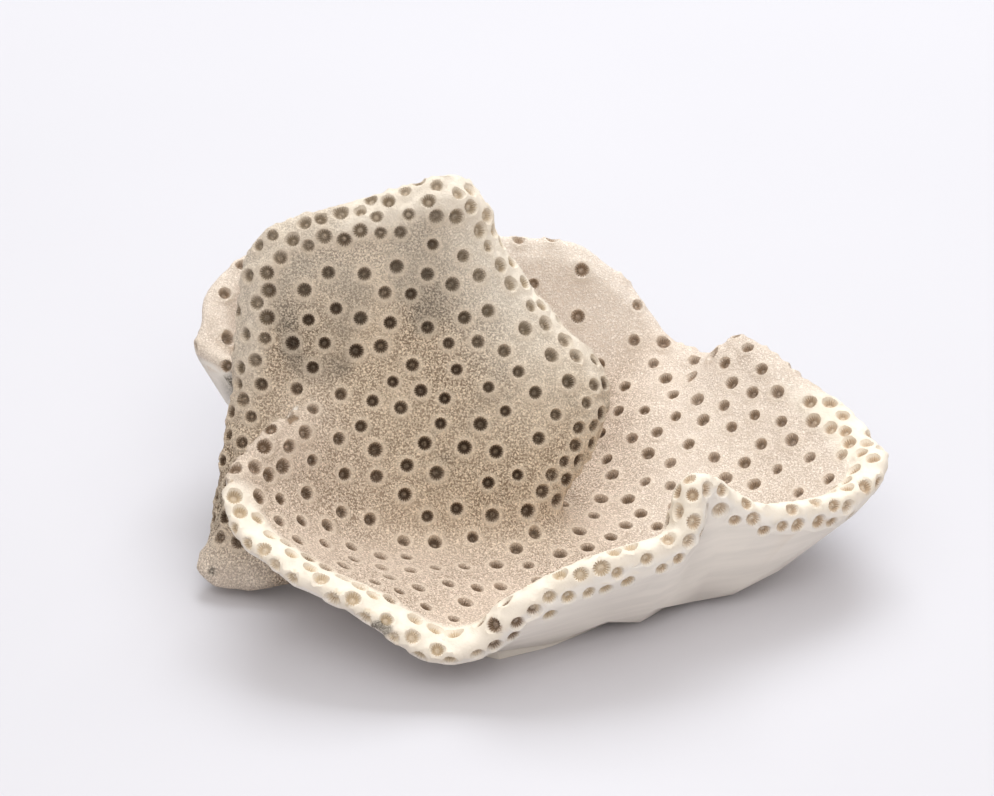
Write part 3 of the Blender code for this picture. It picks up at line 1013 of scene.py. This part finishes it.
    def thin_out(self, made: bpy.types.Object, survey: Survey) -> None:
        """Merges small faces on the smooth lower side, where there are no cups.

        Args:
            made: The fused coral.
            survey: What is known of its vertices.
        """
        group = made.vertex_groups.new(name="lower")
        weights = np.round((1 - ease(-0.9, -0.4, survey.side)) * 10) / 10
        for weight in np.unique(weights):
            if weight > 0:
                group.add(np.flatnonzero(weights == weight).tolist(), float(weight), "REPLACE")
        modifier = made.modifiers.new("thin", "DECIMATE")
        modifier.ratio = self.kept_share
        modifier.vertex_group = group.name
        settled(made)
        made.vertex_groups.clear()

    @staticmethod
    def keep_largest(made: bpy.types.Object) -> None:
        """Removes the crumbs that a cut leaves beside the piece.

        Args:
            made: The piece.
        """
        bm = bmesh.new()
        bm.from_mesh(made.data)
        left = set(bm.verts)
        shells = []
        while left:
            shell, open_ends = set(), [left.pop()]
            while open_ends:
                vertex = open_ends.pop()
                shell.add(vertex)
                for edge in vertex.link_edges:
                    other = edge.other_vert(vertex)
                    if other in left:
                        left.remove(other)
                        open_ends.append(other)
            shells.append(shell)
        shells.sort(key=len)
        crumbs = [vertex for shell in shells[:-1] for vertex in shell]
        bmesh.ops.delete(bm, geom=crumbs, context="VERTS")
        bm.to_mesh(made.data)
        bm.free()

    @staticmethod
    def boolean(made: bpy.types.Object, other: bpy.types.Object, keep: Keep) -> None:
        """Keeps what of a piece lies outside or inside the other object.

        Args:
            made: The piece.
            other: The other object.
            keep: Which part of the piece stays.
        """
        modifier = made.modifiers.new("cut", "BOOLEAN")
        modifier.operation = keep.value
        modifier.solver = "MANIFOLD"
        modifier.object = other
        settled(made)

    def dish_region(self) -> bpy.types.Object:
        """A solid round the dish and the leaf, wherever the frond is not."""
        dish = self.dish.solid(self.region_cells, swell=1.3 * MM)
        return fused("dish_region", (dish, self.stump.solid(swell=2 * MM)), self.region_voxel)

    @staticmethod
    def keep_side(made: bpy.types.Object, point: Vector, normal: Vector) -> None:
        """Cuts an object by a plane, with a flat face, and keeps what lies against the normal.

        Args:
            made: The object.
            point: A place on the plane.
            normal: The plane's direction, away from what stays.
        """
        bm = bmesh.new()
        bm.from_mesh(made.data)
        geometry = bm.verts[:] + bm.edges[:] + bm.faces[:]
        cut = bmesh.ops.bisect_plane(
            bm, geom=geometry, dist=1e-7, plane_co=point, plane_no=normal, clear_outer=True
        )
        edges = [e for e in cut["geom_cut"] if isinstance(e, bmesh.types.BMEdge)]
        bmesh.ops.triangle_fill(bm, edges=edges, use_beauty=True, use_dissolve=False)
        bmesh.ops.recalc_face_normals(bm, faces=bm.faces)
        bm.to_mesh(made.data)
        bm.free()

    def parted(self) -> dict[str, bpy.types.Object]:
        """The coral parted at its forks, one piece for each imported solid.

        Returns:
            The pieces, by the names of their solids.
        """
        whole = self.shape()
        self.keep_side(whole, Vector((0, 0, 0)), Vector((0, 0, -1)))
        region = self.dish_region()
        frond = linked("frond_skeleton", whole.data.copy())
        self.boolean(frond, region, Keep.OUTSIDE)
        self.boolean(whole, region, Keep.INSIDE)
        bpy.data.objects.remove(region)
        start, end = (Vector((x * MM, y * MM, 0)) for x, y in self.fork_line)
        forward = (end - start).normalized()
        behind = Vector((-forward.y, forward.x, 0))
        leaf = linked("leaf_skeleton", whole.data.copy())
        whole.name = "dish_skeleton"
        self.keep_side(whole, start, behind)
        self.keep_side(leaf, start, -behind)
        pieces = {"dish": whole, "upright_frond": frond, "back_leaf": leaf}
        for piece in pieces.values():
            self.keep_largest(piece)
        return pieces

    @staticmethod
    def spots(places: Sequence[Station], points: Array, rough: float | Array = 0.0) -> Array:
        """How far inside any of the round spots each point is, from 0 to 1.

        Args:
            places: The spots' centres and radii, in millimetres.
            points: Places on the coral.
            rough: How uneven the spots' borders are at each point.

        Returns:
            One value for each place.
        """
        inside = np.zeros(len(points))
        for ball in places:
            apart = reach_of(points, ball)
            inside = np.maximum(inside, 1 - ease(0.6, 1.0, apart + 0.3 * rough))
        return inside

    @staticmethod
    def shoulder_highlight_and_pale_edge(points: Array, survey: Survey) -> Array:
        """How far, from 0 to 1, each point is on the painted highlight of the frond's upper right
        or its pale edge.

        Args:
            points: Places on the coral.
            survey: What is known of them.

        Returns:
            One value for each place.
        """
        height = points[:, 2]
        # Painted highlight: the frond's upper right and top, lighter where the frond turns to the
        # light.
        shoulder = survey.frond * ease(0.1, 0.75, survey.across) * ease(16 * MM, 44 * MM, height)
        shoulder = np.maximum(shoulder, 0.4 * survey.frond * ease(36 * MM, 52 * MM, height))
        # The frond's edge, pale in its own colour.
        edge = 1 - ease(1.5 * MM, 5 * MM, survey.rim)
        edge = 0.65 * survey.frond * edge * ease(20 * MM, 38 * MM, height)
        return np.maximum(shoulder, edge)

    @staticmethod
    def white_rim(points: Array, survey: Survey, leaf: Array, shoulder: Array) -> Array:
        """How far each point is on a rim that is white, from 0 to 1.

        Args:
            points: Places on the coral.
            survey: What is known of them.
            leaf: How far each is on the back leaf, whose rim is less white.
            shoulder: How far each is on the frond's shoulder, which carries a painted highlight, or
                its pale edge.

        Returns:
            One value for each place.
        """
        lip = (1 - ease(-36 * MM, -28 * MM, points[:, 0])) * ease(-19 * MM, -9 * MM, points[:, 1])
        pale = (1 - 0.92 * lip * (1 - leaf)) * (1 - 0.7 * leaf)
        # Frond rims are whiter on the shoulder, partly as painted highlight.
        pale = pale * (1 - survey.frond * (0.8 - 0.5 * shoulder))
        pale = pale * ease(2 * MM, 9 * MM, survey.fork)
        pale = pale * (1 - 0.8 * back_right(points))
        return (1 - ease(1.0 * MM, 7.5 * MM, survey.rim)) * pale

    def mark(self, made: bpy.types.Object) -> None:
        """Stores on a piece what its finish needs to know of each vertex.

        Args:
            made: The piece.
        """
        mesh = made.data
        points = positions(mesh)
        survey = self.surveyor.of(points)
        pit, collar = self.cup_maker.marks(points)
        leaf = self.leaf_share(points)
        # The shoulder mark is partly a painted highlight on the frond's upper right and partly its
        # real pale edge.
        shoulder = self.shoulder_highlight_and_pale_edge(points, survey)
        rim = self.white_rim(points, survey, leaf, shoulder)
        rim = rim * (1 - self.spots(self.brown_cups, points) * ease(0.0, 0.3, pit))
        right = ease(8 * MM, 30 * MM, points[:, 0]) * (1 - survey.frond)
        lobe = 1 - 0.45 * (1 - ease(-50 * MM, -34 * MM, points[:, 0]))
        leaf = np.maximum(leaf * lobe, np.maximum(0.6 * foot_lobe(points), 0.65 * right))
        upper = ease(-0.85, -0.6, survey.side)
        stain = self.spots(self.stains, points, noise_at(points, 1.6 * MM, 5.0))
        blank = np.ones(len(points))
        marks = {
            "cup_marks": (pit, collar, rim),
            "zone_marks": (upper, stain, shoulder),
            "tint_marks": (survey.frond, leaf, self.spots(self.dusk, points)),
        }
        for name, channels in marks.items():
            layer = mesh.attributes.new(name, "FLOAT_COLOR", "POINT")
            rows = np.column_stack([*channels, blank]).astype(np.float32)
            layer.data.foreach_set("color", rows.ravel())
        mesh.shade_smooth()
        mesh.set_sharp_from_angle(angle=math.radians(self.crease))


class NodeBoard:
    """Places and joins the nodes of one tree."""

    def __init__(self, tree: bpy.types.NodeTree) -> None:
        """Takes over a tree."""
        self.tree = tree

    def add(self, kind: str, settings: dict | None = None, **inputs: object) -> bpy.types.Node:
        """Adds a node, sets its properties, and fills or links its inputs.

        Args:
            kind: The node's type name.
            settings: Properties of the node.
            **inputs: Values or output sockets, by input name with spaces as underscores.

        Returns:
            The node.
        """
        node = self.tree.nodes.new(kind)
        for name, value in (settings or {}).items():
            setattr(node, name, value)
        for name, value in inputs.items():
            numbered = name[0] == "i" and name[1:].isdigit()
            socket = node.inputs[int(name[1:]) if numbered else name.replace("_", " ")]
            if isinstance(value, bpy.types.NodeSocket):
                self.tree.links.new(value, socket)
            else:
                socket.default_value = value
        return node

    def join(self, output: bpy.types.NodeSocket, socket: bpy.types.NodeSocket) -> None:
        """Links an output to an input."""
        self.tree.links.new(output, socket)

    def marks(self, name: str) -> tuple[bpy.types.NodeSocket, ...]:
        """The three values that a piece stores in an attribute.

        Args:
            name: The attribute's name.

        Returns:
            The values' output sockets.
        """
        source = {"attribute_type": "GEOMETRY", "attribute_name": name}
        stored = self.add("ShaderNodeAttribute", source)
        parted = self.add("ShaderNodeSeparateColor", Color=stored.outputs["Color"])
        return tuple(parted.outputs[:3])

    def math(self, operation: str, *values: object) -> bpy.types.NodeSocket:
        """A math node's result."""
        inputs = {f"i{k}": value for k, value in enumerate(values)}
        return self.add("ShaderNodeMath", {"operation": operation}, **inputs).outputs[0]

    def product(self, first: object, second: object) -> bpy.types.NodeSocket:
        """Two values multiplied."""
        return self.math("MULTIPLY", first, second)

    def rest(self, value: object) -> bpy.types.NodeSocket:
        """What a value lacks of 1."""
        return self.math("SUBTRACT", 1.0, value)

    def noise(
        self, place: object, scale: object, detail: float, roughness: float, distortion: float = 0.0
    ) -> bpy.types.NodeSocket:
        """A noise texture's value."""
        settings = {"Detail": detail, "Roughness": roughness, "Distortion": distortion}
        return self.add("ShaderNodeTexNoise", Vector=place, Scale=scale, **settings).outputs[0]

    def step(
        self, value: object, low: float, high: float, start: float = 0.0, end: float = 1.0
    ) -> bpy.types.NodeSocket:
        """The value taken smoothly from low and high to start and end.

        Args:
            value: A number or an output socket.
            low: The value at which the step starts.
            high: The value at which it is complete.
            start: The result up to low.
            end: The result from high.

        Returns:
            The result's output socket.
        """
        smooth = {"interpolation_type": "SMOOTHSTEP"}
        node = self.add("ShaderNodeMapRange", smooth, i0=value, i1=low, i2=high, i3=start, i4=end)
        return node.outputs[0]

    def mix(self, factor: object, first: object, second: object) -> bpy.types.NodeSocket:
        """Two colours mixed by a factor."""
        node = self.add("ShaderNodeMix", {"data_type": "RGBA"}, i0=factor, i6=first, i7=second)
        return node.outputs[2]


class GrainGroup:
    """The fine worm-like grain between the cups, and the faint growth lines of the underside."""

    NAME = "coral_grain"

    @classmethod
    def tree(cls) -> bpy.types.NodeTree:
        """The group, built once.

        Returns:
            The group's node tree.
        """
        known = bpy.data.node_groups.get(cls.NAME)
        if known:
            return known
        tree = bpy.data.node_groups.new(cls.NAME, "ShaderNodeTree")
        face = tree.interface
        face.new_socket("Grain Size", in_out="INPUT", socket_type="NodeSocketFloat")
        for name in ("Grain", "Lines", "Clouds", "Greys"):
            face.new_socket(name, in_out="OUTPUT", socket_type="NodeSocketFloat")
        board = NodeBoard(tree)
        given, result = board.add("NodeGroupInput"), board.add("NodeGroupOutput")
        place = board.add("ShaderNodeTexCoord").outputs["Object"]
        scale = board.math("DIVIDE", 1000.0, given.outputs["Grain Size"])
        bend = board.add("ShaderNodeTexNoise", Vector=place, Scale=900.0, Detail=1.0)
        bend = bend.outputs["Color"]
        bent = {"operation": "MULTIPLY_ADD"}
        shift = board.add("ShaderNodeVectorMath", bent, i0=bend, i1=(0.0005,) * 3, i2=place)
        shift = shift.outputs[0]
        borders = {"feature": "DISTANCE_TO_EDGE"}
        cells = board.add("ShaderNodeTexVoronoi", borders, Vector=shift, Scale=scale)
        finer = board.product(scale, 1.5)
        dots = board.noise(shift, finer, 1.0, 0.5)
        gaps = board.step(cells.outputs["Distance"], 0.02, 0.17, 1.0, 0.0)
        spots = board.step(dots, 0.47, 0.58)
        grain = board.math("MAXIMUM", board.product(gaps, 0.6), spots)
        flat = {"operation": "MULTIPLY"}
        drawn = board.add("ShaderNodeVectorMath", flat, i0=place, i1=(60.0, 60.0, 520.0)).outputs[0]
        board.join(grain, result.inputs["Grain"])
        board.join(board.noise(drawn, 1.0, 3.0, 0.55), result.inputs["Lines"])
        board.join(board.noise(place, 55.0, 3.0, 0.6), result.inputs["Clouds"])
        board.join(board.noise(place, 38.0, 4.0, 0.65, 0.4), result.inputs["Greys"])
        return tree


@dataclass(frozen=True)
class SkeletonFinish:
    """Bare coral skeleton: tan on the frond, pinkish in the dish, white at the rims and below.

    A gap colour shows in the gaps of the grain, and a pit colour in the cups, partly their own
    brown and partly painted shade. The size of the grain is in mm.
    """

    name: str
    floor: Colour = (0.86, 0.71, 0.59, 1)
    floor_gap: Colour = (0.37, 0.28, 0.205, 1)
    tan: Colour = (0.81, 0.66, 0.50, 1)
    tan_gap: Colour = (0.165, 0.11, 0.068, 1)
    grey: Colour = (0.50, 0.41, 0.315, 1)
    grey_gap: Colour = (0.10, 0.08, 0.058, 1)
    leaf: Colour = (0.97, 0.865, 0.77, 1)
    leaf_gap: Colour = (0.74, 0.62, 0.52, 1)
    white: Colour = (0.88, 0.795, 0.685, 1)
    below: Colour = (0.87, 0.81, 0.74, 1)
    below_line: Colour = (0.81, 0.755, 0.69, 1)
    collar: Colour = (0.74, 0.62, 0.49, 1)
    rim_collar: Colour = (0.80, 0.705, 0.565, 1)
    # Pit colours: partly the cups' own brown, partly painted shade in the hollows.
    pit: Colour = (0.36, 0.25, 0.165, 1)
    tan_pit: Colour = (0.19, 0.125, 0.078, 1)
    leaf_pit: Colour = (0.66, 0.52, 0.39, 1)
    rim_pit: Colour = (0.73, 0.62, 0.47, 1)
    stain: Colour = (0.15, 0.13, 0.105, 1)
    grain_size: float = 0.5
    roughness: float = 0.92
    specular: float = 0.25
    bump_strength: float = 0.7
    bump_depth: float = 0.25 * MM

    def material(self) -> bpy.types.Material:
        """The finish as a material that reads the marks stored on a piece.

        Returns:
            The material.
        """
        made = bpy.data.materials.new(self.name)
        made.use_nodes = True
        board = NodeBoard(made.node_tree)
        shader = made.node_tree.nodes["Principled BSDF"]
        pit, collar, rim = board.marks("cup_marks")
        upper, stain, shoulder = board.marks("zone_marks")
        frond, leaf, dusk = board.marks("tint_marks")
        group = {"node_tree": GrainGroup.tree()}
        grain = board.add("ShaderNodeGroup", group, Grain_Size=self.grain_size).outputs
        greys = board.math("ADD", grain["Greys"], board.product(dusk, 0.16))
        grey = board.product(frond, board.step(greys, 0.5, 0.68))
        # No grey patches on the shoulder, which carries a painted highlight.
        grey = board.product(grey, board.rest(shoulder))
        light = board.mix(frond, self.floor, board.mix(grey, self.tan, self.grey))
        light = board.mix(leaf, light, self.leaf)
        dark = board.mix(frond, self.floor_gap, board.mix(grey, self.tan_gap, self.grey_gap))
        dark = board.mix(leaf, dark, self.leaf_gap)
        depth = board.step(grain["Clouds"], 0.3, 0.7, 0.6, 1.0)
        bare = board.rest(board.step(rim, 0.2, 0.85))
        depth = board.product(depth, board.product(bare, grain["Grain"]))
        open_floor = board.rest(board.product(collar, 0.55))
        depth = board.product(depth, open_floor)
        grained = board.mix(depth, light, dark)
        whiter = board.mix(board.step(rim, 0.15, 0.75), grained, self.white)
        # Painted highlight: the frond's upper right is whitened where it turns to the light; along
        # its edge the whitening is the real pale rim.
        painted_highlight_and_pale_edge = board.product(shoulder, board.step(grain["Grain"], 0.0, 1.0, 0.97, 0.62))
        whiter = board.mix(painted_highlight_and_pale_edge, whiter, self.white)
        ring = board.mix(rim, self.collar, self.rim_collar)
        ringed = board.mix(board.product(collar, 0.4), whiter, ring)
        lower = board.mix(board.step(grain["Lines"], 0.35, 0.65), self.below, self.below_line)
        skin = board.mix(upper, lower, ringed)
        hollow = board.mix(frond, self.pit, self.tan_pit)
        # Cups on the shoulder are paler, partly painted highlight.
        paler = board.product(shoulder, 0.8)
        paler = board.math("MAXIMUM", board.step(rim, 0.2, 0.8), paler)
        hollow = board.mix(leaf, board.mix(paler, hollow, self.rim_pit), self.leaf_pit)
        # Cups take the pit colour by depth: partly their own brown, partly painted shade.
        pitted = board.mix(board.step(pit, 0.0, 0.85), skin, hollow)
        speckled = board.product(stain, board.step(grain["Grain"], 0.1, 0.8, 0.55, 1.0))
        patch = board.product(speckled, board.step(grain["Clouds"], 0.35, 0.6, 0.75, 1.0))
        board.join(board.mix(patch, pitted, self.stain), shader.inputs["Base Color"])
        shader.inputs["Roughness"].default_value = self.roughness
        shader.inputs["Specular IOR Level"].default_value = self.specular
        rough = board.product(upper, board.math("ADD", 0.12, bare))
        height = board.product(board.rest(grain["Grain"]), rough)
        below = board.product(grain["Lines"], board.step(upper, 0.0, 1.0, 0.12, 0.0))
        height = board.math("ADD", height, below)
        relief = {"Strength": self.bump_strength, "Distance": self.bump_depth}
        bump = board.add("ShaderNodeBump", **relief, Height=height)
        board.join(bump.outputs[0], shader.inputs["Normal"])
        return made


@dataclass
class Studio:
    """The pale table, the soft light and the camera."""

    look_at: Station = (-5.5 * MM, 9.6 * MM, 27.3 * MM)
    distance: float = 0.52
    elevation: float = 30.0
    sensor: float = 36.0
    table_half: float = 3.0
    table_tones: Sequence[Colour] = ((0.60, 0.59, 0.625, 1), (0.625, 0.615, 0.65, 1))
    surround: Colour = (1.0, 0.935, 0.86, 1)
    surround_strength: float = 0.365

    def floor(self) -> None:
        """A pale matt table."""
        half = self.table_half
        corners = np.array([(-half, -half, 0), (half, -half, 0), (half, half, 0), (-half, half, 0)])
        made = new_object("table", corners, [(0, 1, 2, 3)])
        made.location.z = -0.05 * MM
        paint = bpy.data.materials.new("pale_table")
        paint.use_nodes = True
        board = NodeBoard(paint.node_tree)
        place = board.add("ShaderNodeTexCoord").outputs["Object"]
        tone = board.mix(board.noise(place, 9.0, 2.0, 0.5), *self.table_tones)
        shader = paint.node_tree.nodes["Principled BSDF"]
        board.join(tone, shader.inputs["Base Color"])
        shader.inputs["Roughness"].default_value = 0.6
        shader.inputs["Specular IOR Level"].default_value = 0.2
        made.data.materials.append(paint)

    def area_light(
        self, name: str, place: Station, size: float, power: float, colour: Station
    ) -> None:
        """A square area light that faces the coral.

        Args:
            name: The light's name.
            place: Its position in metres.
            size: The length of its side in metres.
            power: Its power in watts.
            colour: Its red, green and blue.
        """
        data = bpy.data.lights.new(name, "AREA")
        data.size = size
        data.energy = power
        data.color = colour
        made = linked(name, data)
        made.location = place
        back = Vector(place) - Vector(self.look_at)
        made.rotation_euler = back.to_track_quat("Z", "Y").to_euler()

    def light(self) -> None:
        """Soft light from above, behind and to the right, with a bright surround."""
        world = bpy.data.worlds.new("surround")
        world.use_nodes = True
        background = world.node_tree.nodes["Background"]
        background.inputs["Color"].default_value = self.surround
        background.inputs["Strength"].default_value = self.surround_strength
        bpy.context.scene.world = world
        self.area_light("overhead", (0.0, -0.15, 1.15), 2.2, 13.6, (0.975, 0.99, 1.0))
        self.area_light("key", (0.06, 0.60, 0.80), 0.6, 6.9, (0.93, 0.97, 1.0))
        self.area_light("fill", (0.08, -0.62, 0.75), 0.8, 2.7, (1.0, 0.975, 0.94))

    def camera(self) -> None:
        """The photograph's view: level with +Y and looking 30 degrees down."""
        data = bpy.data.cameras.new("view")
        data.sensor_width = self.sensor
        data.lens = PX_PER_MM * self.distance / MM * self.sensor / PHOTO_WIDTH_PX
        data.clip_start = 0.01
        made = linked("view", data)
        tilt = math.radians(self.elevation)
        back = Vector((0, -math.cos(tilt), math.sin(tilt)))
        made.location = Vector(self.look_at) + back * self.distance
        made.rotation_euler = back.to_track_quat("Z", "Y").to_euler()
        bpy.context.scene.camera = made

    def build(self) -> None:
        """Sets up the whole studio."""
        self.floor()
        self.light()
        self.camera()
        bpy.context.scene.view_settings.view_transform = "Standard"


def main() -> None:
    """Builds the coral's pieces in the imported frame, and the studio round them."""
    logging.basicConfig(level=logging.INFO, format="%(name)s: %(message)s")
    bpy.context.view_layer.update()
    Studio().build()
    growth = Growth()
    slots = {"dish": "dish", "upright_frond": "frond", "back_leaf": "leaf"}
    for node, piece in growth.parted().items():
        growth.mark(piece)
        piece.data.materials.clear()
        finish = SkeletonFinish(f"{slots[node]}_skeleton_finish")
        piece.data.materials.append(finish.material())
        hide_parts(node)
        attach(piece, "root")
        LOG.info("%s: %d faces", piece.name, len(piece.data.polygons))


if __name__ == "__main__":
    main()
